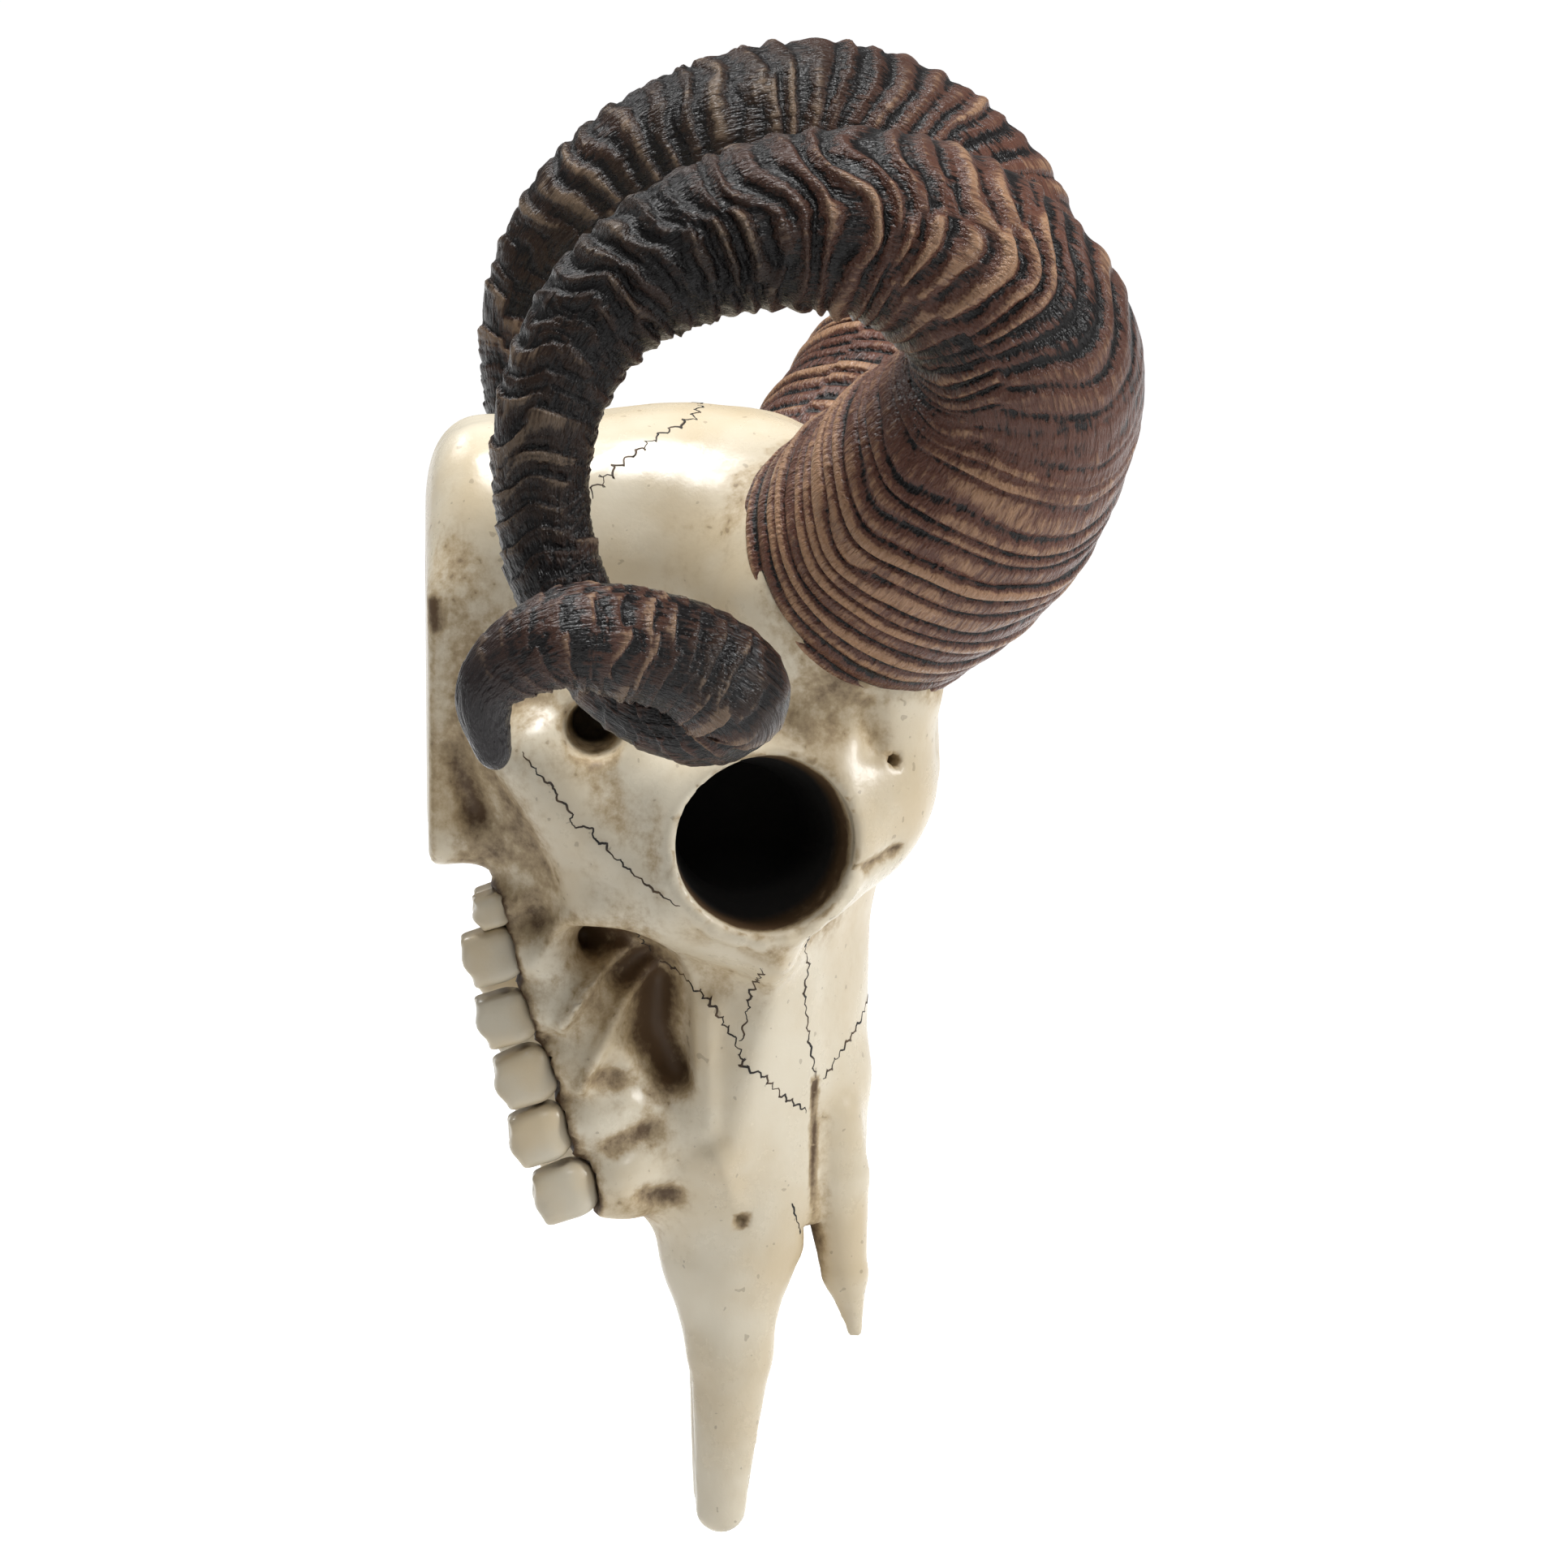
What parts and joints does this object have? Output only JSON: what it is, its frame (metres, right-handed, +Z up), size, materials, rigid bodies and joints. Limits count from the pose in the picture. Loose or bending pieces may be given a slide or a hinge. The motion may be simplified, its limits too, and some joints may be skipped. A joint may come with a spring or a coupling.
{
  "type": "ram skull wall ornament",
  "caption": "Life-size cast-resin ram skull with ringed, curled horns and a flat back, made to hang on a wall.",
  "frame": {"origin": "on the flat back, in the middle of its width, level with the top of the orbits' arch", "axes": "+Y out of the back into the wall, -Y the way the face looks, +Z up towards the horns, +X to the animal's left"},
  "size_m": [0.2942, 0.1644, 0.3508],
  "materials": {
    "bone": "ivory resin with brown stain in its hollows, under a satin varnish",
    "horn": "dark brown resin, dry-brushed tan on the ring crests"
  },
  "bodies": {
    "root": {"braincase": "bone", "frontal_bone_right": "bone", "frontal_bone_left": "bone", "cheekbone_right": "bone", "cheekbone_left": "bone", "upper_jaw_right": "bone", "upper_jaw_left": "bone", "nasal_bone_right": "bone", "nasal_bone_left": "bone", "premaxilla_right": "bone", "premaxilla_left": "bone", "horn_right_base": "horn", "horn_right_bow": "horn", "horn_right_tip": "horn", "horn_left_base": "horn", "horn_left_bow": "horn", "horn_left_tip": "horn"}
  },
  "joints": []
}
